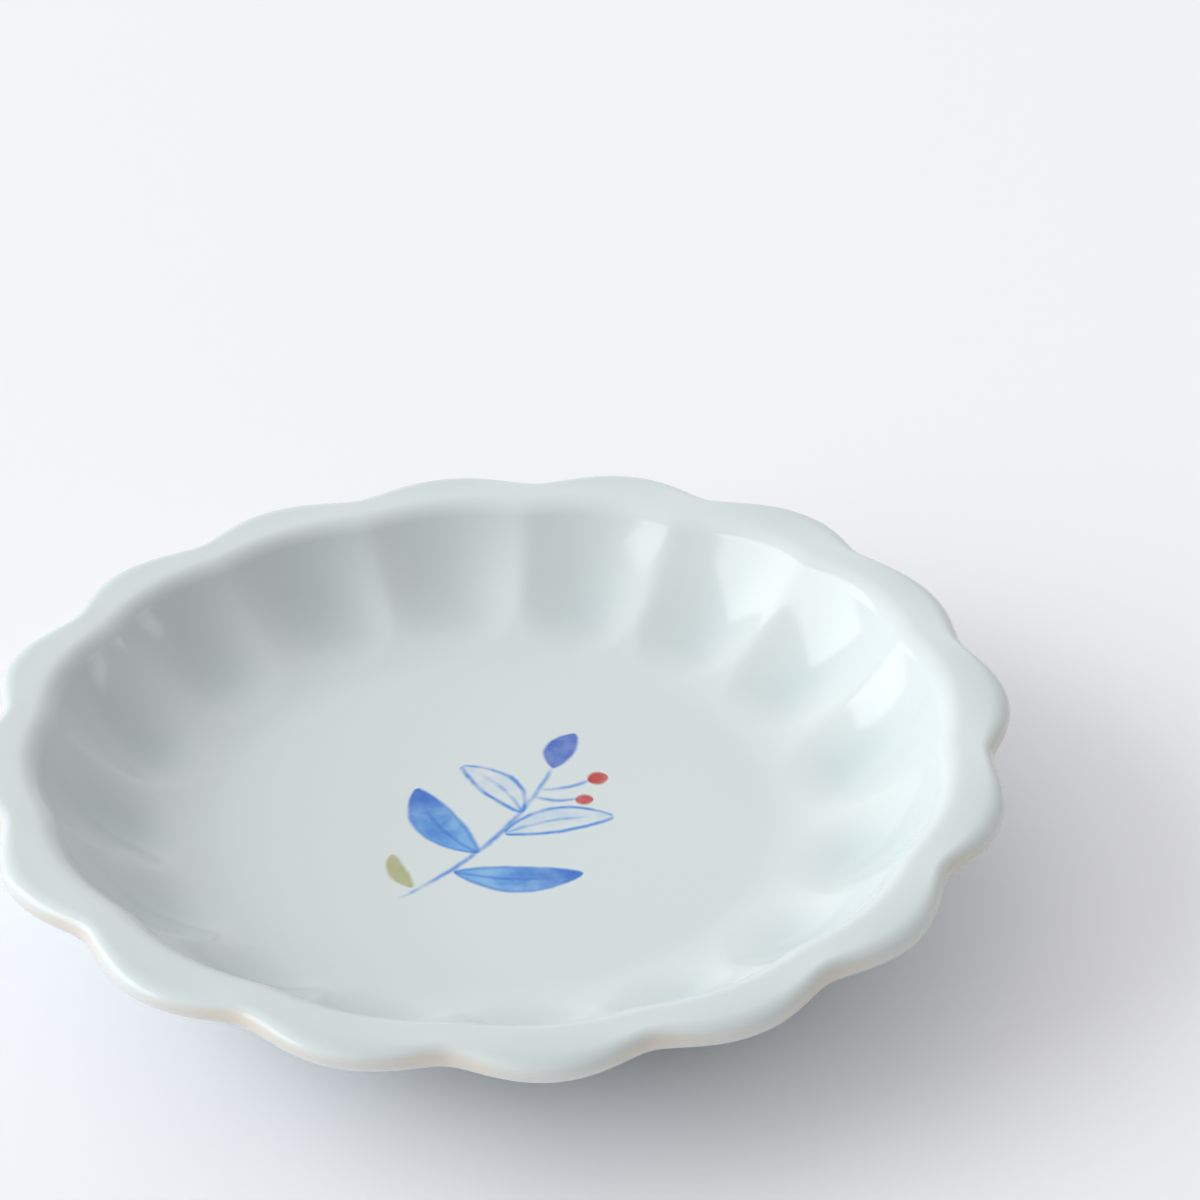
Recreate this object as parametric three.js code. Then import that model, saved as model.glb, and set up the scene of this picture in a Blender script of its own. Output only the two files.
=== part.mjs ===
// Small porcelain sauce plate: a shallow round dish with a fluted wall and a scalloped lip,
// standing on a foot ring that is made apart and luted to the underside.
// Millimetres, +Z up. The origin is on the table, at the centre of the foot ring.

import * as THREE from "three";

// Dish: overall sizes
const PLATE_DIAMETER = 100; // across opposite lobe tips
const PLATE_HEIGHT = 18; // table to the top of the lip's crest
const WELL_DIAMETER = 52.5; // smooth floor of the well, where the wall's arc begins
const WELL_SAG = 0.3; // middle of the well below its edge

// Dish: thickness of the porcelain
const FLOOR_THICKNESS = 4;
const WALL_THICKNESS = 2.6;
const LIP_THICKNESS = 2.5;

// Dish: lip, seen in a section through a notch
const LIP_WIDTH = 3.4; // top of the crest to the edge
const LIP_FALL = 0.4; // edge below the crest
const CREST_RADIUS = 2; // rounding from the wall over to the lip
const MEETING_SHARE = 0.8; // share of the wall's turn at which its two outside curves meet

// Flutes: one scoop inside, one belly outside and one lobe of the lip each, measured outwards
const FLUTE_COUNT = 16;
const LOBE_DEPTH = 2; // notch to lobe tip, at the edge of the lip
const CREST_DEPTH = 0.55; // wave of the crest
const SCOOP_DEPTH = 2; // hollow of the wall's inside
const BELLY_DEPTH = 1; // swell of the wall's outside
const SCOOP_RUN_IN = 7; // length over which a scoop grows out of the well
const SCOOP_RUN_OUT = 4.5; // length over which it closes below the crest
const RIDGE_SOFTNESS = 0.12; // 0 gives a knife-sharp ridge between two scoops
const NOTCH_SOFTNESS = 0.33; // the same for the notches of the edge
const BELLY_SOFTNESS = 0.4; // the same for the grooves outside

// Foot ring
const FOOT_DIAMETER = 54; // outside of the standing face's land
const FOOT_HEIGHT = 3.5;
const FOOT_LAND = 2.2; // width of the ring at the table
const FOOT_DRAFT = 0.5; // each side leans in by this much towards the table
const FOOT_EDGE = 0.45; // rounding of the standing edge
const LUTING_FILLET = 0.9; // smoothed slip where the ring meets the dish
const SEAT_MARGIN = 0.6; // flat seat past each side of the ring's top
const FOOT_RECESS = 0.4; // underside inside the ring hollowed above its seat

// Facets
const STEPS_PER_FLUTE = 6;
const WELL_STEPS = 4;
const WALL_STEPS = 13;
const CREST_STEPS = 4;
const EDGE_STEPS = 3;
const OUTSIDE_STEPS = 5;
const UNDERSIDE_STEPS = 4;
const FILLET_STEPS = 3;

// Worked out from the sizes above
const notchRadius = PLATE_DIAMETER / 2 - LOBE_DEPTH;
const crestRadius = notchRadius - LIP_WIDTH;
const wellRadius = WELL_DIAMETER / 2;
const wellHeight = FOOT_HEIGHT + FLOOR_THICKNESS + WELL_SAG;
const footOuter = FOOT_DIAMETER / 2;
const footInner = footOuter - FOOT_LAND;
const ringTopOuter = footOuter + FOOT_DRAFT + LUTING_FILLET;
const ringTopInner = footInner - FOOT_DRAFT - LUTING_FILLET;
const seatOuter = ringTopOuter + SEAT_MARGIN;
const seatInner = ringTopInner - SEAT_MARGIN;
const segments = FLUTE_COUNT * STEPS_PER_FLUTE;

// The wall's arc leaves the well level and meets the crest's arc without a break: both centres and the joint
// lie on one line, whose length is the sum of the radii.
const wallRun = crestRadius - wellRadius;
const wallRise = PLATE_HEIGHT - wellHeight;
const centreDistance = (wallRun ** 2 + wallRise ** 2) / (2 * wallRise);
const wallRadius = centreDistance - CREST_RADIUS;
const wallTurn = Math.atan2(wallRun, centreDistance - wallRise);
const wallCentre = new THREE.Vector2(wellRadius, wellHeight + wallRadius);
const crestCentre = new THREE.Vector2(crestRadius, PLATE_HEIGHT - CREST_RADIUS);
const edgeRadius = LIP_THICKNESS / 2;
const edgeCentre = new THREE.Vector2(notchRadius - edgeRadius, PLATE_HEIGHT - LIP_FALL - edgeRadius);

const porcelain = new THREE.MeshStandardMaterial({ color: 0xdde4e2, roughness: 0.12, metalness: 0 });
const biscuit = new THREE.MeshStandardMaterial({ color: 0xe6e1d8, roughness: 0.7, metalness: 0 });

// Points of an arc, both ends included. Angles run from +X, anticlockwise.
function arc(centre, radius, start, end, steps) {
  const points = [];
  for (let i = 0; i <= steps; i++) {
    const angle = THREE.MathUtils.lerp(start, end, i / steps);
    points.push(new THREE.Vector2(Math.cos(angle), Math.sin(angle)).multiplyScalar(radius).add(centre));
  }
  return points;
}

// Inside of the notch section, from the edge's top over the crest and down the wall to the middle of the well.
function insideSection(lipAngle) {
  const crest = [
    ...arc(crestCentre, CREST_RADIUS, lipAngle, Math.PI / 2, 1),
    ...arc(crestCentre, CREST_RADIUS, Math.PI / 2, Math.PI / 2 + wallTurn, CREST_STEPS).slice(1),
  ];
  const wall = arc(wallCentre, wallRadius, wallTurn - Math.PI / 2, -Math.PI / 2, WALL_STEPS);
  const floor = [];
  for (let i = WELL_STEPS - 1; i >= 0; i--) {
    const r = (wellRadius * i) / WELL_STEPS;
    const sag = WELL_SAG * (1 - THREE.MathUtils.smoothstep(r, 0, wellRadius));
    floor.push(new THREE.Vector2(r, wellHeight - sag));
  }
  return [...crest, ...wall.slice(1), ...floor];
}

// Outside of the notch section, from the seat of the foot ring up to the underside of the lip. Two curves meet
// at a point of the wall that stands off the inside by the wall's thickness.
function outsideSection() {
  const seat = new THREE.Vector2(seatOuter, FOOT_HEIGHT);
  const underLip = new THREE.Vector2(edgeCentre.x, edgeCentre.y - edgeRadius);
  const turn = wallTurn * MEETING_SHARE;
  const radius = wallRadius + WALL_THICKNESS;
  const meeting = new THREE.Vector2(Math.sin(turn), -Math.cos(turn)).multiplyScalar(radius).add(wallCentre);
  const tangentAt = (height) => new THREE.Vector2(meeting.x + (height - meeting.y) / Math.tan(turn), height);
  const lower = new THREE.QuadraticBezierCurve(seat, tangentAt(FOOT_HEIGHT), meeting);
  const upper = new THREE.QuadraticBezierCurve(meeting, tangentAt(underLip.y), underLip);
  return [...lower.getPoints(OUTSIDE_STEPS), ...upper.getPoints(OUTSIDE_STEPS).slice(1)];
}

// Closed half section of the dish through a notch, from the middle of the underside over the lip to the middle
// of the well. Each point also says which face it belongs to.
function dishSection() {
  const underside = [];
  for (let i = 0; i <= UNDERSIDE_STEPS; i++) {
    const r = (seatInner * i) / UNDERSIDE_STEPS;
    underside.push(new THREE.Vector2(r, FOOT_HEIGHT + FOOT_RECESS * (1 - (r / seatInner) ** 2)));
  }
  const between = edgeCentre.clone().sub(crestCentre);
  const lean = Math.atan2(between.y, between.x) + Math.asin((edgeRadius - CREST_RADIUS) / between.length());
  const lipAngle = Math.PI / 2 + lean;
  const edge = [
    ...arc(edgeCentre, edgeRadius, -Math.PI / 2, 0, EDGE_STEPS).slice(1),
    ...arc(edgeCentre, edgeRadius, 0, lipAngle, EDGE_STEPS).slice(1),
  ];
  const outer = [...underside, ...outsideSection()].map((point) => ({ point, inside: false }));
  const inner = [...edge, ...insideSection(lipAngle)].map((point) => ({ point, inside: true }));
  return [...outer, ...inner];
}

// Passes smoothly through (radius, value) stations, level at each.
function through(stations, radius) {
  let value = stations[0][1];
  for (let i = 1; i < stations.length; i++) {
    const [r0, v0] = stations[i - 1];
    const [r1, v1] = stations[i];
    value += (v1 - v0) * THREE.MathUtils.smoothstep(radius, r0, r1);
  }
  return value;
}

// How far the middle of a flute is pushed outwards at a point of the notch section.
function fluteDepth({ point, inside }) {
  const scoop = [
    [wellRadius, 0],
    [wellRadius + SCOOP_RUN_IN, SCOOP_DEPTH],
    [crestRadius - SCOOP_RUN_OUT, SCOOP_DEPTH],
    [crestRadius, CREST_DEPTH],
    [notchRadius, LOBE_DEPTH],
  ];
  const belly = [
    [seatOuter, 0],
    [(seatOuter + crestRadius) / 2, BELLY_DEPTH],
    [crestRadius, BELLY_DEPTH],
    [notchRadius, LOBE_DEPTH],
  ];
  return through(inside ? scoop : belly, point.x);
}

// Height of a lobe round the plate: 1 at the middle of a flute, 0 in the notch between two. The softness rounds
// the notch, and passes from the wall's to the edge's across the lip.
function lobe(angle, { point, inside }) {
  const onWall = inside ? RIDGE_SOFTNESS : BELLY_SOFTNESS;
  const soft = through([[crestRadius, onWall], [notchRadius, NOTCH_SOFTNESS]], point.x);
  return (Math.hypot(Math.cos((FLUTE_COUNT * angle) / 2), soft) - soft) / (Math.hypot(1, soft) - soft);
}

// Turns a section round the Z axis.
function revolve(section) {
  return new THREE.LatheGeometry(section, segments).rotateX(Math.PI / 2);
}

// The dish: its section is revolved, column after column, then every point moves out by the flute it lies in.
function makeDish() {
  const section = dishSection();
  const geometry = revolve(section.map((place) => place.point));
  const position = geometry.getAttribute("position");
  for (let i = 0; i < position.count; i++) {
    const place = section[i % section.length];
    const depth = fluteDepth(place);
    if (depth > 0) {
      const x = position.getX(i);
      const y = position.getY(i);
      const scale = 1 + (depth * lobe(Math.atan2(y, x), place)) / place.point.x;
      position.setXY(i, x * scale, y * scale);
    }
  }
  geometry.computeVertexNormals();
  const mesh = new THREE.Mesh(geometry, porcelain);
  mesh.name = "dish";
  return mesh;
}

// Section of the foot ring: flat land on the table, rounded standing edges, leaning sides and slip fillets.
function footSection() {
  const filletBase = FOOT_HEIGHT - LUTING_FILLET;
  const path = new THREE.Path();
  path.moveTo(footInner + FOOT_EDGE, 0);
  path.lineTo(footOuter - FOOT_EDGE, 0);
  path.quadraticCurveTo(footOuter, 0, footOuter, FOOT_EDGE);
  path.lineTo(footOuter + FOOT_DRAFT, filletBase);
  path.quadraticCurveTo(footOuter + FOOT_DRAFT, FOOT_HEIGHT, ringTopOuter, FOOT_HEIGHT);
  path.lineTo(ringTopInner, FOOT_HEIGHT);
  path.quadraticCurveTo(footInner - FOOT_DRAFT, FOOT_HEIGHT, footInner - FOOT_DRAFT, filletBase);
  path.lineTo(footInner, FOOT_EDGE);
  path.quadraticCurveTo(footInner, 0, footInner + FOOT_EDGE, 0);
  return path.getPoints(FILLET_STEPS);
}

function makeFootRing() {
  const mesh = new THREE.Mesh(revolve(footSection()), biscuit);
  mesh.name = "foot_ring";
  return mesh;
}

const saucePlate = new THREE.Group();
saucePlate.add(makeDish(), makeFootRing());

export default saucePlate;
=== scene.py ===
"""Looks of a small fluted porcelain sauce plate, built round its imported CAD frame.

Lengths are metres in the frame of the CAD solids: +Z up, origin on the table at the centre of the
foot ring.
"""

import logging
import math
from dataclasses import dataclass, field
from enum import Enum
from typing import Sequence

import bpy
import numpy as np
from mathutils import Matrix, Vector


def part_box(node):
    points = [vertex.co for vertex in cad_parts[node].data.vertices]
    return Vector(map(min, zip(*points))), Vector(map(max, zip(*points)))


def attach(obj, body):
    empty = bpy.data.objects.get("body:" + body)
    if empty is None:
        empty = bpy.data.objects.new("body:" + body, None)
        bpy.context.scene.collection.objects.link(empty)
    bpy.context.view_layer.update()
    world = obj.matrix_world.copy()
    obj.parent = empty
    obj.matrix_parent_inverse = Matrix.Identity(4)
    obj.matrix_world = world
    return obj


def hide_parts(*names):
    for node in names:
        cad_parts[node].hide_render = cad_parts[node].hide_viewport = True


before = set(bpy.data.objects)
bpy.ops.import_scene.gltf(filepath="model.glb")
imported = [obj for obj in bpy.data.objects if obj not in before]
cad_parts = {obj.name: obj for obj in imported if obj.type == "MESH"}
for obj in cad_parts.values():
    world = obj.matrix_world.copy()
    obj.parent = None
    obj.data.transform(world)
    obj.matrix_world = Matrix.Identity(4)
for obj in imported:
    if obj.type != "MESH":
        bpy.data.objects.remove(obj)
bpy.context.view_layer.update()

MM = 0.001
QUARTER_TURN = math.pi / 2
FULL_TURN = 2 * math.pi
NOISE_MEAN = 0.5
POOL = "pool"
log = logging.getLogger("sauce_plate")

Colour = tuple[float, float, float]
Point = tuple[float, float]

SCREEN_WHITE = 255.0
SCREEN_KNEE = 0.04045
SCREEN_SLOPE = 12.92
SCREEN_OFFSET = 0.055
SCREEN_POWER = 2.4


def linear(red: int, green: int, blue: int) -> Colour:
    """Turns a screen colour of 0 to 255 into the linear colour that a shader takes.

    Args:
        red: Red on screen.
        green: Green on screen.
        blue: Blue on screen.

    Returns:
        The same colour as linear values from 0 to 1.
    """
    screen = np.array([red, green, blue]) / SCREEN_WHITE
    low = screen / SCREEN_SLOPE
    high = ((screen + SCREEN_OFFSET) / (1.0 + SCREEN_OFFSET)) ** SCREEN_POWER
    return tuple(float(v) for v in np.where(screen <= SCREEN_KNEE, low, high))


def smooth(value: np.ndarray, start: float, end: float) -> np.ndarray:
    """Rises from 0 at start to 1 at end along 3t^2 - 2t^3, level at both ends.

    Args:
        value: Values to grade.
        start: Value at which the rise begins.
        end: Value at which it is complete.

    Returns:
        The graded values, from 0 to 1.
    """
    t = np.clip((value - start) / (end - start), 0.0, 1.0)
    return t * t * (3.0 - 2.0 * t)


def bezier(points: Sequence[Sequence[float]], count: int) -> np.ndarray:
    """Samples a Bezier curve: each pass mixes neighbouring points by t until one point is left.

    Args:
        points: Control points, each (radius, height).
        count: Number of samples, both ends included.

    Returns:
        The sampled points.
    """
    t = np.linspace(0.0, 1.0, count)[:, None]
    level = [np.array(p, dtype=float)[None, :] for p in points]
    while len(level) > 1:
        level = [(1.0 - t) * a + t * b for a, b in zip(level, level[1:])]
    return level[0]


def arc(centre: Point, radius: float, start: float, end: float, count: int) -> np.ndarray:
    """Samples an arc: centre + radius (cos a, sin a) as the angle a goes evenly from start to end.

    Args:
        centre: Centre, as (radius, height).
        radius: Radius of the arc.
        start: First angle, anticlockwise from the outward direction.
        end: Last angle.
        count: Number of samples, both ends included.

    Returns:
        The sampled points.
    """
    angle = np.linspace(start, end, count)
    return np.array(centre) + radius * np.stack([np.cos(angle), np.sin(angle)], axis=1)


def through(stations: Sequence[Point], radius: np.ndarray) -> np.ndarray:
    """Passes smoothly through (radius, value) stations, level at each.

    Args:
        stations: Radii in rising order, each with the value there.
        radius: Radii to read.

    Returns:
        The values at those radii.
    """
    steps = [(b[1] - a[1]) * smooth(radius, a[0], b[0]) for a, b in zip(stations, stations[1:])]
    return stations[0][1] + sum(steps)


def turned_mesh(name: str, points: np.ndarray, capped: bool) -> bpy.types.Object:
    """Makes a closed mesh from rings of points, with faces pointing outwards.

    The grid's first index runs round the axis and its second along the section, which starts under
    the axis.

    Args:
        name: Name of the new object.
        points: Grid of shape (round, along, 3).
        capped: True if the first and last ring are each one point on the axis, False if the section
            closes on itself.

    Returns:
        The new object, smooth shaded.
    """
    around = len(points)
    here = np.arange(around)
    after = (here + 1) % around
    rings = points[:, 1:-1] if capped else points
    rows = rings.shape[1]
    lower = np.arange(rows - 1 if capped else rows)
    upper = (lower + 1) % rows
    vertices = rings.reshape(-1, 3)

    def index(column: np.ndarray, row: np.ndarray) -> np.ndarray:
        """Gives the vertex number of each column and row of the rings."""
        return column[:, None] * rows + row[None, :]

    corners = [index(here, lower), index(after, lower), index(after, upper), index(here, upper)]
    faces = np.stack(corners, axis=-1).reshape(-1, 4).tolist()
    if capped:
        bottom = np.full(around, len(vertices))
        top = bottom + 1
        vertices = np.vstack([vertices, points[0, 0], points[0, -1]])
        faces += np.stack([bottom, after * rows, here * rows], axis=-1).tolist()
        faces += np.stack([top, here * rows + rows - 1, after * rows + rows - 1], axis=-1).tolist()
    mesh = bpy.data.meshes.new(name)
    mesh.from_pydata(vertices.tolist(), [], faces)
    mesh.polygons.foreach_set("use_smooth", np.ones(len(faces), dtype=bool))
    mesh.update()
    piece = bpy.data.objects.new(name, mesh)
    bpy.context.collection.objects.link(piece)
    return piece


def point_value(piece: bpy.types.Object, name: str, values: np.ndarray) -> None:
    """Stores one number for each vertex as an attribute that materials can read.

    Args:
        piece: Object whose mesh takes the attribute.
        name: Name of the attribute.
        values: One number for each vertex.
    """
    attribute = piece.data.attributes.new(name, "FLOAT", "POINT")
    attribute.data.foreach_set("value", values.astype(np.float32))


class Socket(Enum):
    """Kinds of socket that a node group takes or gives."""

    FLOAT = "NodeSocketFloat"
    VECTOR = "NodeSocketVector"
    COLOUR = "NodeSocketColor"


class MixSocket(Enum):
    """Places of the colour sockets on a Mix node."""

    SHARE = 0
    FIRST = 6
    SECOND = 7
    RESULT = 2


@dataclass(frozen=True)
class Ramp:
    """A smooth passage from start, at the value low, to end, at the value high."""

    low: float
    high: float
    start: float = 0.0
    end: float = 1.0


@dataclass(frozen=True)
class Mottle:
    """Soft noise: the width of its features, and its octaves of finer noise."""

    size: float
    detail: float


class Graph:
    """A shader node tree with short calls for the nodes that these finishes use."""

    def __init__(self, tree: bpy.types.NodeTree) -> None:
        """Takes the tree to build in.

        Args:
            tree: Node tree of a material, world or node group.
        """
        self.tree = tree

    def add(self, kind: str, **values: object) -> bpy.types.Node:
        """Adds one node and sets its properties.

        Args:
            kind: Type of node, such as ShaderNodeMath.
            **values: Properties of the node.

        Returns:
            The new node.
        """
        node = self.tree.nodes.new(kind)
        for name, value in values.items():
            setattr(node, name, value)
        return node

    def feed(self, socket: bpy.types.NodeSocket, value: object) -> None:
        """Links a socket to another, or sets its plain value.

        Args:
            socket: Input to feed.
            value: Output socket to link, or a number, vector or colour.
        """
        if isinstance(value, bpy.types.NodeSocket):
            self.tree.links.new(value, socket)
        else:
            socket.default_value = value

    def math(self, operation: str, *values: object, clamp: bool = False) -> bpy.types.NodeSocket:
        """Adds a Math node.

        Args:
            operation: Name of the operation, such as MULTIPLY.
            *values: Sockets or numbers for its inputs.
            clamp: True to keep the result from 0 to 1.

        Returns:
            The node's output.
        """
        node = self.add("ShaderNodeMath", operation=operation, use_clamp=clamp)
        for socket, value in zip(node.inputs, values):
            self.feed(socket, value)
        return node.outputs[0]

    def times(self, first: object, second: object) -> bpy.types.NodeSocket:
        """Multiplies two values."""
        return self.math("MULTIPLY", first, second)

    def grade(self, value: object, ramp: Ramp) -> bpy.types.NodeSocket:
        """Adds a smooth Map Range node.

        Args:
            value: Value to grade.
            ramp: Passage that the value takes.

        Returns:
            The node's output.
        """
        node = self.add("ShaderNodeMapRange", interpolation_type="SMOOTHSTEP")
        for socket, part in zip(node.inputs, (value, ramp.low, ramp.high, ramp.start, ramp.end)):
            self.feed(socket, part)
        return node.outputs[0]

    def mix(self, share: object, first: object, second: object) -> bpy.types.NodeSocket:
        """Adds a colour Mix node.

        Args:
            share: Share of the second colour.
            first: Colour or socket.
            second: Colour or socket.

        Returns:
            The mixed colour.
        """
        node = self.add("ShaderNodeMix", data_type="RGBA")
        self.feed(node.inputs[MixSocket.SHARE.value], share)
        for place, value in ((MixSocket.FIRST, first), (MixSocket.SECOND, second)):
            self.feed(node.inputs[place.value], (*value, 1.0) if isinstance(value, tuple) else value)
        return node.outputs[MixSocket.RESULT.value]

    def noise(self, place: bpy.types.NodeSocket, mottle: Mottle) -> bpy.types.NodeSocket:
        """Adds a noise texture.

        Args:
            place: Coordinates to read.
            mottle: Size and detail of the noise.

        Returns:
            The noise value, about 0.5 on average.
        """
        node = self.add("ShaderNodeTexNoise")
        self.feed(node.inputs["Vector"], place)
        self.feed(node.inputs["Scale"], 1.0 / mottle.size)
        self.feed(node.inputs["Detail"], mottle.detail)
        return node.outputs["Fac"]

    def place(self) -> bpy.types.NodeSocket:
        """Gives the Object coordinates of the piece."""
        return self.add("ShaderNodeTexCoord").outputs["Object"]


def new_group(
    name: str, inputs: dict[str, Socket], outputs: dict[str, Socket],
) -> tuple[Graph, dict[str, bpy.types.NodeSocket], dict[str, bpy.types.NodeSocket]]:
    """Starts a shader node group with named sockets.

    Args:
        name: Name of the group.
        inputs: Kinds of socket by input name.
        outputs: Kinds of socket by output name.

    Returns:
        The group's graph, its input sockets by name and its output sockets by name.
    """
    tree = bpy.data.node_groups.new(name, "ShaderNodeTree")
    for socket, kind in inputs.items():
        tree.interface.new_socket(socket, in_out="INPUT", socket_type=kind.value)
    for socket, kind in outputs.items():
        tree.interface.new_socket(socket, in_out="OUTPUT", socket_type=kind.value)
    graph = Graph(tree)
    source = graph.add("NodeGroupInput")
    sink = graph.add("NodeGroupOutput")
    return graph, {k: source.outputs[k] for k in inputs}, {k: sink.inputs[k] for k in outputs}


def new_material(name: str) -> tuple[bpy.types.Material, Graph, bpy.types.Node]:
    """Starts a material with one Principled shader.

    Args:
        name: Name of the material.

    Returns:
        The material, its graph and its shader.
    """
    material = bpy.data.materials.new(name)
    material.use_nodes = True
    material.node_tree.nodes.clear()
    graph = Graph(material.node_tree)
    shader = graph.add("ShaderNodeBsdfPrincipled")
    graph.feed(graph.add("ShaderNodeOutputMaterial").inputs["Surface"], shader.outputs[0])
    return material, graph, shader


@dataclass(frozen=True)
class GlazeBody:
    """Colour of the glaze over clay, and its faint ripple, as one node group for all glazed faces."""

    cloud: Mottle = Mottle(14.0 * MM, 3.0)
    cloud_strength: float = 0.5
    ripple: Mottle = Mottle(9.0 * MM, 1.0)
    pooling: Ramp = Ramp(0.0, 1.0)
    thinning: Ramp = Ramp(0.0, -1.0)

    def group(self) -> bpy.types.NodeTree:
        """Builds the group.

        The colour runs from thin glaze through the usual coat to pooled glaze as the pool value goes
        from -1 to 1, with a slow cloud of tone. The ripple is soft noise.

        Returns:
            The node group.
        """
        colours = ("Thin", "Coat", "Pooled")
        inputs = {"Point": Socket.VECTOR, "Pool": Socket.FLOAT} | {name: Socket.COLOUR for name in colours}
        outputs = {"Colour": Socket.COLOUR, "Ripple": Socket.FLOAT}
        graph, given, made = new_group("glaze body", inputs, outputs)
        cloud = graph.math("SUBTRACT", graph.noise(given["Point"], self.cloud), NOISE_MEAN)
        pool = graph.math("ADD", given["Pool"], graph.times(cloud, self.cloud_strength))
        rich = graph.mix(graph.grade(pool, self.pooling), given["Coat"], given["Pooled"])
        graph.feed(made["Colour"], graph.mix(graph.grade(pool, self.thinning), rich, given["Thin"]))
        graph.feed(made["Ripple"], graph.noise(given["Point"], self.ripple))
        return graph.tree


@dataclass(frozen=True)
class Glaze:
    """Clear glaze over white porcelain: warm where it runs thin, blue-green where it pools."""

    thin: Colour = linear(214, 208, 198)
    coat: Colour = linear(213, 222, 223)
    pooled: Colour = linear(194, 208, 210)
    roughness: float = 0.14
    ior: float = 1.5
    gloss: float = 0.45
    ripple: float = 0.012 * MM

    def material(
        self, name: str, body: bpy.types.NodeTree,
    ) -> tuple[bpy.types.Material, Graph, bpy.types.Node, bpy.types.NodeSocket]:
        """Starts a glazed material, with the ripple as a bump.

        Args:
            name: Name of the material.
            body: The glaze body group.

        Returns:
            The material, its graph, its shader and the glaze's colour, still to be linked to the shader.
        """
        material, graph, shader = new_material(name)
        coat = graph.add("ShaderNodeGroup", node_tree=body)
        graph.feed(coat.inputs["Point"], graph.place())
        pool = graph.add("ShaderNodeAttribute", attribute_name=POOL)
        graph.feed(coat.inputs["Pool"], pool.outputs["Fac"])
        for socket, colour in (("Thin", self.thin), ("Coat", self.coat), ("Pooled", self.pooled)):
            graph.feed(coat.inputs[socket], (*colour, 1.0))
        bump = graph.add("ShaderNodeBump")
        graph.feed(bump.inputs["Distance"], self.ripple)
        graph.feed(bump.inputs["Height"], coat.outputs["Ripple"])
        graph.feed(shader.inputs["Roughness"], self.roughness)
        graph.feed(shader.inputs["IOR"], self.ior)
        graph.feed(shader.inputs["Specular IOR Level"], self.gloss)
        graph.feed(shader.inputs["Normal"], bump.outputs["Normal"])
        return material, graph, shader, coat.outputs["Colour"]


@dataclass(frozen=True)
class Brush:
    """The mark of the brush, as one node group that every stroke uses.

    The bleed is how far paint runs at an edge. The line and rib ramps read the distance from the drawn
    line as a share of its width, the rim ramp the depth inside the edge, and the vein ramp the run along
    the leaf.
    """

    bleed: float = 0.27 * MM
    rim: Ramp = Ramp(0.75 * MM, 0.1 * MM)
    line: Ramp = Ramp(1.15, 0.0)
    rib: Ramp = Ramp(1.0, 0.0)
    vein: Ramp = Ramp(0.85, 0.55)

    def group(self) -> bpy.types.NodeTree:
        """Builds one brushed leaf or line from its root, angle, length, width and bend.

        The point is turned into the leaf's own run u, from 0 at the root to 1 at the tip, and its offset v
        from a spine that sags by 4 bend u (1 - u). The half width is half the width times sin(pi u) to the
        power of the taper. The fill is where |v| is below the half width, the rim where the wash has dried
        darker just inside it, the outline where |v| is close to the half width, and the vein where it is
        close to 0.

        Returns:
            The node group.
        """
        shape = ("Angle", "Length", "Width", "Bend", "Taper", "Line", "Wobble")
        inputs = {"Point": Socket.VECTOR, "Root": Socket.VECTOR} | {name: Socket.FLOAT for name in shape}
        outputs = {name: Socket.FLOAT for name in ("Fill", "Rim", "Outline", "Vein", "Run")}
        graph, given, made = new_group("brush leaf", inputs, outputs)
        across, half, run = self.spine(graph, given)
        depth = graph.math("SUBTRACT", half, across)
        on_leaf = graph.grade(half, Ramp(0.0, self.bleed))
        edge = graph.math("DIVIDE", graph.math("ABSOLUTE", depth), given["Line"])
        rib = graph.math("DIVIDE", across, given["Line"])
        marks = {
            "Fill": graph.grade(depth, Ramp(-self.bleed, self.bleed)),
            "Rim": graph.grade(depth, self.rim),
            "Outline": graph.grade(edge, self.line),
            "Vein": graph.times(graph.grade(rib, self.rib), graph.grade(run, self.vein)),
        }
        for name, mark in marks.items():
            graph.feed(made[name], graph.times(mark, on_leaf))
        graph.feed(made["Run"], run)
        return graph.tree

    def spine(
        self, graph: Graph, given: dict[str, bpy.types.NodeSocket],
    ) -> tuple[bpy.types.NodeSocket, bpy.types.NodeSocket, bpy.types.NodeSocket]:
        """Works out where a point lies on the leaf.

        Args:
            graph: Graph of the group.
            given: Inputs of the group by name.

        Returns:
            The distance |v| from the spine, the leaf's half width there, and the run u.
        """
        offset = graph.add("ShaderNodeVectorMath", operation="SUBTRACT")
        graph.feed(offset.inputs[0], given["Point"])
        graph.feed(offset.inputs[1], given["Root"])
        local = graph.add("ShaderNodeVectorRotate", rotation_type="Z_AXIS")
        graph.feed(local.inputs["Vector"], offset.outputs[0])
        graph.feed(local.inputs["Angle"], graph.times(given["Angle"], -1.0))
        split = graph.add("ShaderNodeSeparateXYZ")
        graph.feed(split.inputs[0], local.outputs[0])
        run = graph.math("DIVIDE", split.outputs["X"], given["Length"], clamp=True)
        arch = graph.times(run, graph.math("SUBTRACT", 1.0, run))
        sag = graph.times(graph.times(arch, 4.0), given["Bend"])
        beside = graph.math("ADD", graph.math("SUBTRACT", split.outputs["Y"], sag), given["Wobble"])
        swell = graph.math("MAXIMUM", graph.math("SINE", graph.times(run, math.pi)), 0.0)
        half = graph.times(graph.times(given["Width"], 0.5), graph.math("POWER", swell, given["Taper"]))
        return graph.math("ABSOLUTE", beside), half, run


class Pigment(Enum):
    """Colours of the brush: cobalt as a wash, loaded and as a line, one red and one olive."""

    WASH = linear(98, 168, 228)
    COBALT = linear(12, 88, 192)
    LINE = linear(48, 132, 216)
    RED = linear(186, 48, 40)
    OLIVE = linear(166, 168, 112)


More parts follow.
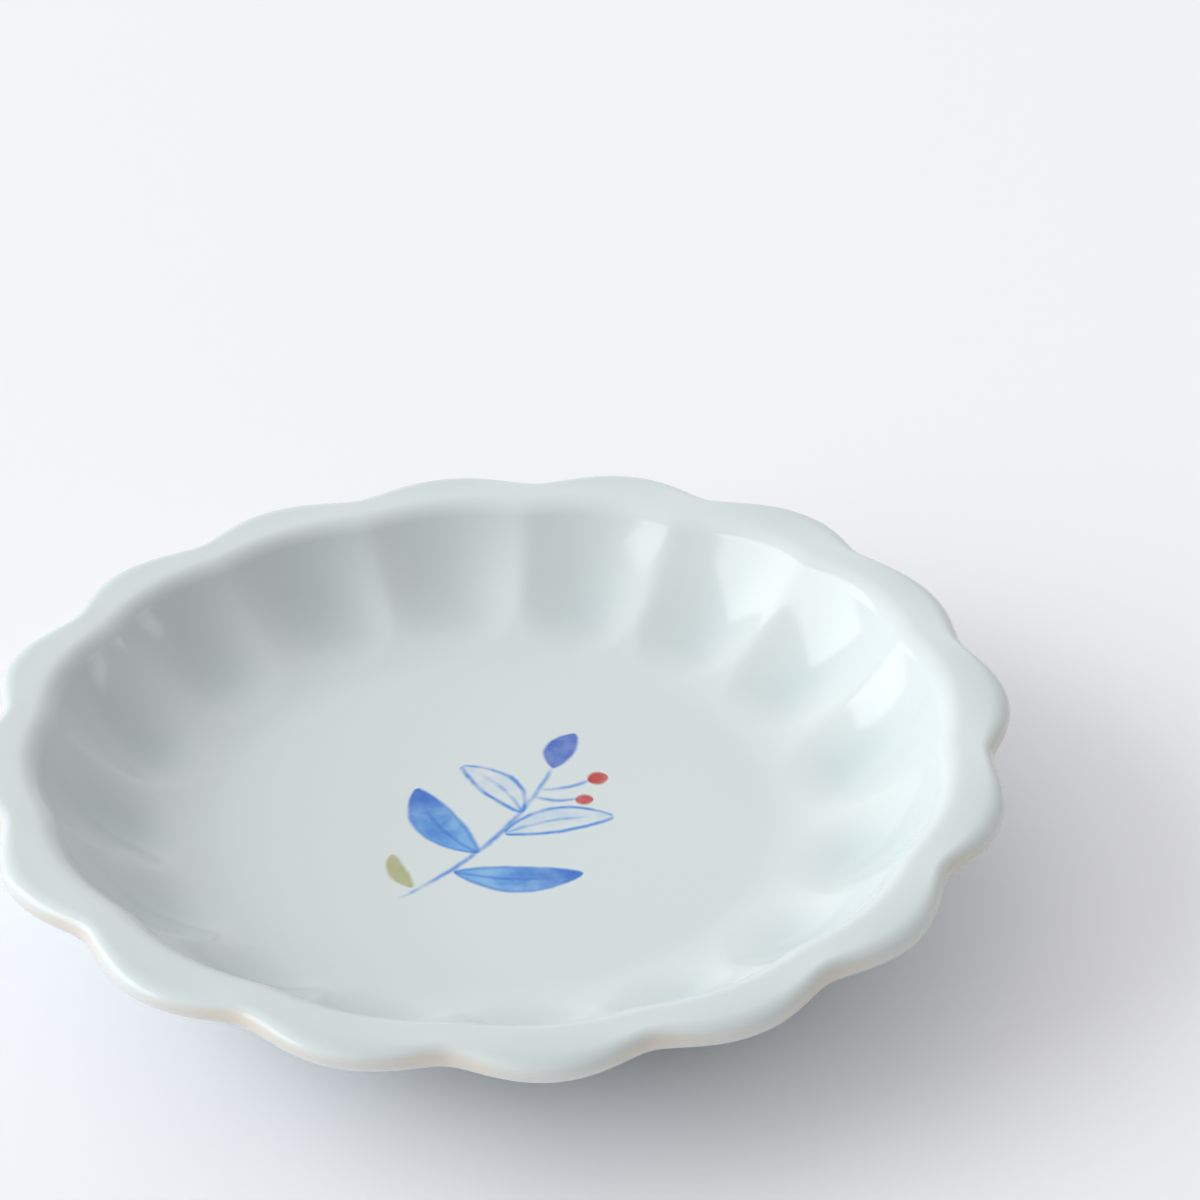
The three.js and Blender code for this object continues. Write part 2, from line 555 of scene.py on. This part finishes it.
class Brushwork(Enum):
    """How a leaf is painted."""

    FILLED = "filled"
    OUTLINED = "outlined"
    STEM = "stem"


@dataclass(frozen=True)
class Leaf:
    """One stroke of the sprig, in millimetres and degrees on the floor of the well."""

    root: Point
    angle: float
    length: float
    width: float
    bend: float
    taper: float
    work: Brushwork
    pigment: Pigment

    def settings(self) -> dict[str, object]:
        """Gives the stroke's own inputs to the brush group.

        Returns:
            Values by input name, in metres and radians.
        """
        return {
            "Root": (self.root[0] * MM, self.root[1] * MM, 0.0),
            "Angle": math.radians(self.angle),
            "Length": self.length * MM,
            "Width": self.width * MM,
            "Bend": self.bend * MM,
            "Taper": self.taper,
        }


@dataclass(frozen=True)
class Sprig:
    """A berried sprig brushed on the floor of the well, under the glaze.

    The puddle noise makes the wash uneven: it is pale or rich by the wash ramp, leaves a haze in the
    outlined leaves, and with the run along the leaf loads it with darker cobalt. The gap noise breaks the
    drawn lines.
    """

    line: float = 0.4 * MM
    wobble: float = 0.2 * MM
    reach: float = 18.0 * MM
    shake: Mottle = Mottle(1.8 * MM, 3.0)
    puddle: Mottle = Mottle(3.0 * MM, 3.0)
    grain: Mottle = Mottle(0.35 * MM, 2.0)
    grain_ramp: Ramp = Ramp(0.3, 0.7, 0.95, 1.0)
    gap: Mottle = Mottle(2.4 * MM, 2.0)
    gap_ramp: Ramp = Ramp(0.3, 0.6, 0.4, 0.95)
    haze_ramp: Ramp = Ramp(0.35, 0.75, 0.0, 0.3)
    wash_ramp: Ramp = Ramp(0.3, 0.65, 0.82, 1.0)
    load_ramp: Ramp = Ramp(0.45, 1.0, 0.0, 0.85)
    load_by_run: float = 0.55
    load_by_puddle: float = 0.8
    rim_strength: float = 0.5
    drawn_vein: float = 0.6
    washed_vein: float = 0.5
    leaves: tuple[Leaf, ...] = (
        Leaf((-10.5, -12.0), 50.0, 27.0, 0.52, -2.0, 0.2, Brushwork.STEM, Pigment.LINE),
        Leaf((-4.9, -8.1), -9.0, 12.5, 4.3, -1.1, 0.7, Brushwork.FILLED, Pigment.WASH),
        Leaf((-2.2, -5.4), 113.0, 12.5, 4.6, 1.1, 0.7, Brushwork.FILLED, Pigment.WASH),
        Leaf((0.6, -2.4), 7.0, 11.0, 3.9, 0.9, 0.75, Brushwork.OUTLINED, Pigment.LINE),
        Leaf((2.8, 0.8), 121.0, 10.0, 3.5, -0.9, 0.75, Brushwork.OUTLINED, Pigment.LINE),
        Leaf((6.5, 7.8), 63.0, 6.4, 3.1, 0.4, 0.75, Brushwork.FILLED, Pigment.COBALT),
        Leaf((5.0, 4.4), 12.0, 5.2, 0.44, -0.5, 0.2, Brushwork.STEM, Pigment.LINE),
        Leaf((9.7, 5.3), 12.0, 2.1, 2.0, 0.0, 0.5, Brushwork.FILLED, Pigment.RED),
        Leaf((4.3, 3.2), -10.0, 4.2, 0.44, -0.4, 0.2, Brushwork.STEM, Pigment.LINE),
        Leaf((8.1, 2.3), -10.0, 1.8, 1.7, 0.0, 0.5, Brushwork.FILLED, Pigment.RED),
        Leaf((-9.0, -10.4), 104.0, 6.0, 1.9, 0.5, 0.65, Brushwork.FILLED, Pigment.OLIVE),
    )

    def paint(
        self, graph: Graph, ground: bpy.types.NodeSocket, brush: bpy.types.NodeTree,
    ) -> bpy.types.NodeSocket:
        """Lays the strokes over the glaze's colour, one after the other.

        Args:
            graph: Graph of the material.
            ground: Colour under the paint.
            brush: The brush leaf group.

        Returns:
            The painted colour.
        """
        place = graph.place()
        shake = graph.math("SUBTRACT", graph.noise(place, self.shake), NOISE_MEAN)
        wobble = graph.times(shake, self.wobble / NOISE_MEAN)
        puddle = graph.noise(place, self.puddle)
        grain = graph.grade(graph.noise(place, self.grain), self.grain_ramp)
        broken = graph.grade(graph.noise(place, self.gap), self.gap_ramp)
        wash = graph.times(graph.grade(puddle, self.wash_ramp), grain)
        haze = graph.grade(puddle, self.haze_ramp)
        colour = ground
        for leaf in self.leaves:
            stroke = graph.add("ShaderNodeGroup", node_tree=brush)
            shared = {"Point": place, "Line": self.line, "Wobble": wobble}
            for name, value in (shared | leaf.settings()).items():
                graph.feed(stroke.inputs[name], value)
            fill = stroke.outputs["Fill"]
            pigment = leaf.pigment.value
            if leaf.work is Brushwork.STEM:
                colour = graph.mix(graph.times(fill, broken), colour, pigment)
            elif leaf.work is Brushwork.OUTLINED:
                vein = graph.times(stroke.outputs["Vein"], self.drawn_vein)
                drawn = graph.math("MAXIMUM", stroke.outputs["Outline"], vein)
                colour = graph.mix(graph.times(fill, haze), colour, Pigment.WASH.value)
                colour = graph.mix(graph.times(drawn, broken), colour, pigment)
            else:
                colour = graph.mix(graph.times(fill, wash), colour, pigment)
            if leaf.pigment is Pigment.WASH:
                dark = graph.times(self.dried(graph, stroke, puddle), grain)
                vein = graph.times(stroke.outputs["Vein"], self.washed_vein)
                colour = graph.mix(graph.times(fill, dark), colour, Pigment.COBALT.value)
                colour = graph.mix(vein, colour, Pigment.COBALT.value)
        return colour

    def dried(
        self, graph: Graph, stroke: bpy.types.Node, puddle: bpy.types.NodeSocket,
    ) -> bpy.types.NodeSocket:
        """Works out where a wash dries dark: towards the tip, in its puddles and along its rim.

        Args:
            graph: Graph of the material.
            stroke: Node of the stroke.
            puddle: The puddle noise.

        Returns:
            How dark the wash is, from 0 to 1.
        """
        by_run = graph.times(stroke.outputs["Run"], self.load_by_run)
        load = graph.math("ADD", by_run, graph.times(puddle, self.load_by_puddle))
        rim = graph.times(stroke.outputs["Rim"], self.rim_strength)
        return graph.math("MAXIMUM", graph.grade(load, self.load_ramp), rim)


@dataclass
class Dish:
    """The fluted shell: well, wall and lip in one body of porcelain.

    The lobe shares say how far each lobe of the edge reaches, as a share of the lobe depth, anticlockwise
    from +X.
    """

    well_radius: float = 26.25 * MM
    well_sag: float = 0.3 * MM
    floor_thickness: float = 4.0 * MM
    wall_thickness: float = 2.6 * MM
    lip_thickness: float = 2.5 * MM
    lip_width: float = 3.1 * MM
    lip_fall: float = 0.4 * MM
    crest_fall: float = 0.5 * MM
    crest_rounding: float = 3.0 * MM
    meeting_share: float = 0.8
    flutes: int = 16
    lobe_depth: float = 2.0 * MM
    crest_depth: float = 0.55 * MM
    scoop_depth: float = 2.2 * MM
    belly_depth: float = 1.0 * MM
    scoop_start: float = 28.5 * MM
    scoop_run_in: float = 4.2 * MM
    scoop_widening: float = 7.0 * MM
    least_width: float = 0.3
    ridge_softness: float = 0.17
    notch_softness: float = 0.33
    belly_softness: float = 0.4
    seat_inner: float = 22.8 * MM
    seat_outer: float = 29.0 * MM
    recess: float = 0.4 * MM
    warp: float = 1.09 * MM
    warp_angle: float = math.radians(13.5)
    oval: float = 0.0131
    oval_angle: float = math.radians(39.4)
    drift: float = math.radians(5.0)
    drift_angle: float = math.radians(28.0)
    drift_power: int = 16
    droop: float = 0.15 * MM
    lobe_shares: tuple[float, ...] = (
        1.05, 0.68, 1.2, 1.3, 1.1, 1.05, 1.0, 1.0, 1.0, 1.0, 1.0, 1.0, 1.17, 0.92, 1.0, 1.0,
    )
    pool_strength: float = 0.6
    lip_thinning: float = 0.6
    outside_thinning: float = 0.3
    edge_thinning_spread: float = 0.9
    edge_thinning_power: int = 4
    around: int = 512
    under_rows: int = 8
    lower_rows: int = 22
    upper_rows: int = 14
    edge_rows: int = 26
    lip_rows: int = 6
    crest_rows: int = 16
    wall_rows: int = 66
    floor_rows: int = 20
    outer_radius: float = field(init=False)
    seat_height: float = field(init=False)
    top: float = field(init=False)
    notch_radius: float = field(init=False)
    crest_radius: float = field(init=False)

    def __post_init__(self) -> None:
        """Takes the overall sizes from the CAD solid."""
        low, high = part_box("dish")
        self.outer_radius = high[0]
        self.seat_height = low[2]
        self.top = high[2]
        self.notch_radius = self.outer_radius - self.lobe_depth
        self.crest_radius = self.notch_radius - self.lip_width

    def section(self) -> tuple[np.ndarray, np.ndarray, np.ndarray]:
        """Works out the notch section from under the axis, over the lip, to the middle of the well.

        Inside, an arc leaves the well level and meets the small arc of the crest on the line through both
        centres; a straight lip runs on to the round of the edge. Outside, two quadratic curves meet at a
        point that stands off the inside by the wall's thickness. The glaze runs thin outside, more so under
        the lip, and on the round of the edge by a power of the cosine of its angle.

        Returns:
            The points (radius, height), whether each is on the inside, and how far its glaze runs thin.
        """
        well_height = self.seat_height + self.floor_thickness + self.well_sag
        crest_height = self.top - self.crest_fall
        run = self.crest_radius - self.well_radius
        rise = crest_height - well_height
        between = (run ** 2 + rise ** 2) / (2 * rise)
        wall_radius = between - self.crest_rounding
        turn = math.atan2(run, between - rise)
        wall_centre = (self.well_radius, well_height + wall_radius)
        crest_centre = (self.crest_radius, crest_height - self.crest_rounding)
        edge_radius = self.lip_thickness / 2
        edge_centre = (self.notch_radius - edge_radius, self.top - self.lip_fall - edge_radius)
        across = edge_centre[0] - crest_centre[0]
        down = edge_centre[1] - crest_centre[1]
        lean = math.asin((edge_radius - self.crest_rounding) / math.hypot(across, down))
        lip_angle = QUARTER_TURN + math.atan2(down, across) + lean

        edge = arc(edge_centre, edge_radius, -QUARTER_TURN, lip_angle, self.edge_rows)
        crest = arc(crest_centre, self.crest_rounding, lip_angle, QUARTER_TURN + turn, self.crest_rows)
        lip = edge[-1] + np.linspace(0.0, 1.0, self.lip_rows)[1:-1, None] * (crest[0] - edge[-1])
        wall = arc(wall_centre, wall_radius, turn - QUARTER_TURN, -QUARTER_TURN, self.wall_rows)
        floor_radius = np.linspace(self.well_radius, 0.0, self.floor_rows)
        sag = self.well_sag * (1.0 - smooth(floor_radius, 0.0, self.well_radius))
        floor = np.stack([floor_radius, well_height - sag], axis=1)
        inside = np.vstack([edge, lip, crest, wall[1:], floor[1:]])

        meeting_turn = turn * self.meeting_share
        meeting_angle = meeting_turn - QUARTER_TURN
        meeting = arc(wall_centre, wall_radius + self.wall_thickness, meeting_angle, meeting_angle, 1)[0]

        def tangent(height: float) -> Point:
            """Gives the point at a height on the line that touches both outside curves where they meet."""
            return meeting[0] + (height - meeting[1]) / math.tan(meeting_turn), height

        under = np.linspace(0.0, self.seat_inner, self.under_rows)
        hollow = self.recess * (1.0 - (under / self.seat_inner) ** 2)
        base = np.stack([under, self.seat_height + hollow], axis=1)
        seat = (self.seat_outer, self.seat_height)
        lower = bezier([seat, tangent(self.seat_height), meeting], self.lower_rows)
        upper = bezier([meeting, tangent(edge[0, 1]), edge[0]], self.upper_rows)
        outside = np.vstack([base, lower, upper[1:-1]])

        inner = np.concatenate([np.zeros(len(outside), bool), np.ones(len(inside), bool)])
        under_lip = smooth(outside[:, 0], self.crest_radius - self.lip_width, self.notch_radius)
        thin_outside = self.outside_thinning + (self.lip_thinning - self.outside_thinning) * under_lip
        round_edge = np.linspace(-QUARTER_TURN, lip_angle, self.edge_rows)
        thin_edge = np.cos(round_edge * self.edge_thinning_spread) ** self.edge_thinning_power
        thin = np.concatenate([thin_outside, thin_edge, np.zeros(len(inside) - len(edge))])
        return np.vstack([outside, inside]), inner, thin

    def lobe(self, angle: np.ndarray, softness: np.ndarray, width: np.ndarray) -> np.ndarray:
        """Gives the height of a flute round the plate: 1 in its middle, 0 in the notch between two.

        It is the wave |cos(flutes angle / 2)|, squeezed to the width about the middle of each flute, with
        its cusp rounded off by the softness.

        Args:
            angle: Angles round the axis, one row for each column of the grid.
            softness: Rounding of the cusp at each point of the section, 0 for a sharp one.
            width: Share of the flute that is hollow at each point of the section.

        Returns:
            Heights from 0 to 1, one row for each angle and one column for each point of the section.
        """
        phase = self.flutes * angle / 2
        local = phase - math.pi * np.round(phase / math.pi)
        wave = np.cos(np.clip(local / width, -QUARTER_TURN, QUARTER_TURN))
        return (np.hypot(wave, softness) - softness) / (np.hypot(1.0, softness) - softness)

    def depth(self, radius: np.ndarray, inner: np.ndarray) -> np.ndarray:
        """Gives how far the middle of a flute is pushed out at each point of the notch section.

        Inside, the scoop grows out of the well, runs up the wall and closes towards the crest; outside, the
        belly swells from the seat. Both pass into the lobes at the edge.

        Args:
            radius: Radii in the notch section.
            inner: True for points on the inside.

        Returns:
            Outward distances.
        """
        scoop = through([
            (self.scoop_start, 0.0),
            (self.scoop_start + self.scoop_run_in, self.scoop_depth),
            (self.crest_radius, self.crest_depth),
            (self.notch_radius, self.lobe_depth),
        ], radius)
        belly = through([
            (self.seat_outer, 0.0),
            ((self.seat_outer + self.crest_radius) / 2, self.belly_depth),
            (self.crest_radius, self.belly_depth),
            (self.notch_radius, self.lobe_depth),
        ], radius)
        return np.where(inner, scoop, belly)

    def surface(self) -> tuple[np.ndarray, np.ndarray]:
        """Carries the section round the axis through the flutes, with the slight warp left by firing.

        Each scoop ends like a spoon: over its widening t its width grows as the quarter ellipse
        sqrt(t (2 - t)). The ridges drift by a power of cos((angle - drift angle) / 2), as pressed by hand;
        the rim is lifted and stretched by cosines of twice the angle. Past the crest each lobe reaches out
        by its own share of the usual depth, and its tip hangs by the droop.

        Returns:
            The grid of points (round, along, 3) and the glaze pool value at each.
        """
        section, inner, thin = self.section()
        section_radius = section[:, 0]
        angle = (np.arange(self.around) * (FULL_TURN / self.around))[:, None]
        on_lip = smooth(section_radius, self.crest_radius, self.notch_radius)
        on_wall = 1.0 - on_lip
        wall_softness = np.where(inner, self.ridge_softness, self.belly_softness)
        softness = self.notch_softness + (wall_softness - self.notch_softness) * on_wall
        grown = np.clip((section_radius - self.scoop_start) / self.scoop_widening, 0.0, 1.0)
        width = np.where(inner, np.maximum(np.sqrt(grown * (2.0 - grown)), self.least_width), 1.0)
        shift = self.drift * np.cos((angle - self.drift_angle) / 2) ** self.drift_power * (inner * on_wall)
        lobe = self.lobe(angle - shift, softness, width)

        depth = self.depth(section_radius, inner)
        nearest = np.round(self.flutes * angle / FULL_TURN).astype(int) % self.flutes
        reach = depth * (1.0 + on_lip * (np.array(self.lobe_shares)[nearest] - 1.0))
        lifted = smooth(section_radius, self.seat_outer, self.notch_radius)
        stretch = 1.0 + self.oval * lifted * np.cos(2 * (angle - self.oval_angle))
        radius = (section_radius + reach * lobe) * stretch
        warp = self.warp * lifted * np.cos(2 * (angle - self.warp_angle))
        height = section[:, 1] + warp - self.droop * on_lip * lobe
        points = np.stack([radius * np.cos(angle), radius * np.sin(angle), height], axis=-1)
        pooled = (depth / self.scoop_depth) * lobe * self.pool_strength * inner
        return points, pooled - thin

    def build(self) -> bpy.types.Object:
        """Builds the shell and stands it for the CAD dish.

        Returns:
            The shell.
        """
        points, pool = self.surface()
        piece = turned_mesh("dish_shell", points, capped=True)
        point_value(piece, POOL, np.concatenate([pool[:, 1:-1].ravel(), pool[0, [0, -1]]]))
        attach(piece, "root")
        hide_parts("dish")
        return piece

    def dress(self, piece: bpy.types.Object, glaze: Glaze, body: bpy.types.NodeTree, sprig: Sprig) -> None:
        """Glazes the shell, with the sprig under the glaze on the floor of the well.

        Args:
            piece: The shell.
            glaze: The glaze of the plate.
            body: The glaze body group.
            sprig: The painted sprig.
        """
        plain, graph, shader, colour = glaze.material("glaze", body)
        graph.feed(shader.inputs["Base Color"], colour)
        painted, graph, shader, colour = glaze.material("painted glaze", body)
        graph.feed(shader.inputs["Base Color"], sprig.paint(graph, colour, Brush().group()))
        piece.data.materials.append(plain)
        piece.data.materials.append(painted)
        centres = np.empty(len(piece.data.polygons) * 3)
        piece.data.polygons.foreach_get("center", centres)
        centres = centres.reshape(-1, 3)
        in_reach = np.hypot(centres[:, 0], centres[:, 1]) < sprig.reach
        above = centres[:, 2] > self.seat_height + self.floor_thickness / 2
        piece.data.polygons.foreach_set("material_index", (in_reach & above).astype(np.int32))


@dataclass
class FootRing:
    """The ring that the dish stands on, luted to its underside, with a bare standing edge."""

    land: float = 2.2 * MM
    draft: float = 0.5 * MM
    edge: float = 0.45 * MM
    fillet: float = 0.9 * MM
    around: int = 256
    corner_rows: int = 8
    bare: float = 0.95 * MM
    waver: Mottle = Mottle(4.0 * MM, 2.0)
    waver_height: float = 0.5 * MM
    glaze_line: Ramp = Ramp(-0.05 * MM, 0.08 * MM)
    flush_ramp: Ramp = Ramp(0.35 * MM, 0.0, 0.0, 0.8)
    biscuit: Colour = linear(232, 224, 212)
    flush: Colour = linear(214, 190, 164)
    biscuit_roughness: float = 0.75

    def section(self) -> np.ndarray:
        """Works out the ring's closed section, with rounded standing edges and slip fillets at the top.

        Returns:
            The points (radius, height), the standing face first.
        """
        low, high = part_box("foot_ring")
        outer_top = high[0]
        top = high[2]
        outer = outer_top - self.draft - self.fillet
        outer_side = outer + self.draft
        inner = outer - self.land
        inner_side = inner - self.draft
        inner_top = inner_side - self.fillet
        below = top - self.fillet
        corners = [
            [(outer - self.edge, low[2]), (outer, low[2]), (outer, self.edge)],
            [(outer_side, below), (outer_side, top), (outer_top, top)],
            [(inner_top, top), (inner_side, top), (inner_side, below)],
            [(inner, self.edge), (inner, low[2]), (inner + self.edge, low[2])],
        ]
        return np.vstack([bezier(corner, self.corner_rows) for corner in corners])

    def build(self) -> bpy.types.Object:
        """Turns the section round the axis and stands the ring for the CAD foot ring.

        Returns:
            The ring.
        """
        section = self.section()
        angle = (np.arange(self.around) * (FULL_TURN / self.around))[:, None]
        height = np.broadcast_to(section[:, 1], (self.around, len(section)))
        points = np.stack([section[:, 0] * np.cos(angle), section[:, 0] * np.sin(angle), height], axis=-1)
        piece = turned_mesh("foot_ring_shell", points, capped=False)
        point_value(piece, POOL, np.zeros(self.around * len(section)))
        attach(piece, "root")
        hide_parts("foot_ring")
        return piece

    def dress(self, piece: bpy.types.Object, glaze: Glaze, body: bpy.types.NodeTree) -> None:
        """Glazes the ring down to its bare standing edge, with a warm flush where the glaze ends.

        Args:
            piece: The ring.
            glaze: The glaze of the plate.
            body: The glaze body group.
        """
        material, graph, shader, coat = glaze.material("foot", body)
        place = graph.place()
        split = graph.add("ShaderNodeSeparateXYZ")
        graph.feed(split.inputs[0], place)
        waver = graph.times(graph.noise(place, self.waver), self.waver_height)
        above = graph.math("SUBTRACT", graph.math("ADD", split.outputs["Z"], waver), self.bare)
        glazed = graph.grade(above, self.glaze_line)
        flushed = graph.grade(graph.math("ABSOLUTE", above), self.flush_ramp)
        clay = graph.mix(flushed, self.biscuit, self.flush)
        roughness = graph.grade(glazed, Ramp(0.0, 1.0, self.biscuit_roughness, glaze.roughness))
        graph.feed(shader.inputs["Base Color"], graph.mix(glazed, clay, coat))
        graph.feed(shader.inputs["Roughness"], roughness)
        piece.data.materials.append(material)


@dataclass(frozen=True)
class Softbox:
    """A soft upright lamp, placed in metres to the camera's right, to the back and up from the plate."""

    name: str
    place: tuple[float, float, float]
    facing: tuple[float, float, float]
    width: float
    height: float
    brightness: float
    colour: Colour = (1.0, 1.0, 1.0)

    @property
    def power(self) -> float:
        """Gives the lamp's power in watts, from its brightness and its area."""
        return self.brightness * math.pi * self.width * self.height


@dataclass
class Studio:
    """Table, daylight and camera.

    The room's light grows by its lean towards the back, the left and the top, and its colour passes from
    near to far along the same lean.
    """

    turn: float = math.radians(-5.62)
    elevation: float = math.radians(34.52)
    distance: float = 465.1 * MM
    aim: Point = (10.85 * MM, 25.3 * MM)
    aim_height: float = 16.35 * MM
    focal: float = 145.21
    sensor: float = 36.0
    clip: Point = (0.01, 50.0)
    table: Colour = linear(247, 248, 253)
    table_half: float = 12.0
    table_roughness: float = 0.7
    table_gloss: float = 0.2
    room: float = 0.76
    room_back: float = 0.28
    room_left: float = 0.58
    room_top: float = 0.02
    room_near: Colour = (1.0, 0.965, 0.92)
    room_far: Colour = (0.965, 0.985, 1.0)
    room_ramp: Ramp = Ramp(-0.4, 0.6)
    softboxes: tuple[Softbox, ...] = (
        Softbox(
            "window", place=(-2.0, -0.15, 1.25), facing=(1.0, 0.0, 0.0),
            width=2.4, height=1.5, brightness=2.95, colour=(0.975, 0.989, 1.0),
        ),
        Softbox(
            "side_opening", place=(2.8, 0.9, 0.75), facing=(-1.0, 0.0, 0.0),
            width=0.5, height=0.45, brightness=1.5,
        ),
    )

    def turned(self, place: Sequence[float]) -> Vector:
        """Turns a point from the camera's right, back and up to the frame of the solids."""
        return Matrix.Rotation(self.turn, 3, "Z") @ Vector(place)

    def aimed(self, eye: Vector, way: Vector) -> Matrix:
        """Gives the placing of a camera or lamp at a point, looking along a way."""
        return Matrix.Translation(eye) @ way.to_track_quat("-Z", "Y").to_matrix().to_4x4()

    def camera(self) -> bpy.types.Object:
        """Sets the camera at the photograph's viewing angle.

        Returns:
            The camera.
        """
        data = bpy.data.cameras.new("camera")
        data.sensor_width = self.sensor
        data.lens = self.focal
        data.clip_start, data.clip_end = self.clip
        camera = bpy.data.objects.new("camera", data)
        bpy.context.collection.objects.link(camera)
        bpy.context.scene.camera = camera
        in_front = self.distance * math.cos(self.elevation)
        above = self.distance * math.sin(self.elevation)
        eye = self.turned((0.0, -in_front, self.aim_height + above))
        aim = self.turned((*self.aim, self.aim_height))
        camera.matrix_world = self.aimed(eye, aim - eye)
        return camera

    def floor(self) -> bpy.types.Object:
        """Lays the table as one wide sheet.

        Returns:
            The table.
        """
        half = self.table_half
        corners = [(-half, -half, 0.0), (half, -half, 0.0), (half, half, 0.0), (-half, half, 0.0)]
        mesh = bpy.data.meshes.new("table")
        mesh.from_pydata(corners, [], [(0, 1, 2, 3)])
        table = bpy.data.objects.new("table", mesh)
        bpy.context.collection.objects.link(table)
        material, graph, shader = new_material("table")
        graph.feed(shader.inputs["Base Color"], (*self.table, 1.0))
        graph.feed(shader.inputs["Roughness"], self.table_roughness)
        graph.feed(shader.inputs["Specular IOR Level"], self.table_gloss)
        mesh.materials.append(material)
        return table

    def lamps(self) -> None:
        """Hangs the softboxes, unseen by the camera."""
        for box in self.softboxes:
            data = bpy.data.lights.new(box.name, "AREA")
            data.shape = "RECTANGLE"
            data.size = box.width
            data.size_y = box.height
            data.energy = box.power
            data.color = box.colour
            lamp = bpy.data.objects.new(box.name, data)
            bpy.context.collection.objects.link(lamp)
            lamp.visible_camera = False
            lamp.matrix_world = self.aimed(self.turned(box.place), self.turned(box.facing))

    def daylight(self) -> None:
        """Fills the room with light that is brighter towards its left and its back."""
        world = bpy.data.worlds.new("room")
        bpy.context.scene.world = world
        world.use_nodes = True
        world.node_tree.nodes.clear()
        graph = Graph(world.node_tree)
        lean = graph.add("ShaderNodeVectorMath", operation="DOT_PRODUCT")
        graph.feed(lean.inputs[0], graph.add("ShaderNodeTexCoord").outputs["Generated"])
        graph.feed(lean.inputs[1], self.turned((-self.room_left, self.room_back, self.room_top)))
        shade = lean.outputs["Value"]
        lit = graph.times(graph.math("ADD", shade, 1.0), self.room)
        tint = graph.mix(graph.grade(shade, self.room_ramp), self.room_near, self.room_far)
        room = graph.add("ShaderNodeBackground")
        graph.feed(room.inputs["Color"], tint)
        graph.feed(room.inputs["Strength"], graph.math("MAXIMUM", lit, 0.0))
        graph.feed(graph.add("ShaderNodeOutputWorld").inputs["Surface"], room.outputs[0])


def main() -> None:
    """Builds the plate and its studio, and reports each piece."""
    logging.basicConfig(level=logging.INFO, format="%(name)s: %(message)s")
    bpy.context.scene.view_settings.view_transform = "Standard"
    body = GlazeBody().group()
    glaze = Glaze()

    dish = Dish()
    shell = dish.build()
    dish.dress(shell, glaze, body, Sprig())
    log.info("%s: %d faces", shell.name, len(shell.data.polygons))

    foot = FootRing()
    ring = foot.build()
    foot.dress(ring, glaze, body)
    log.info("%s: %d faces", ring.name, len(ring.data.polygons))

    studio = Studio()
    studio.floor()
    studio.lamps()
    studio.daylight()
    studio.camera()


if __name__ == "__main__":
    main()
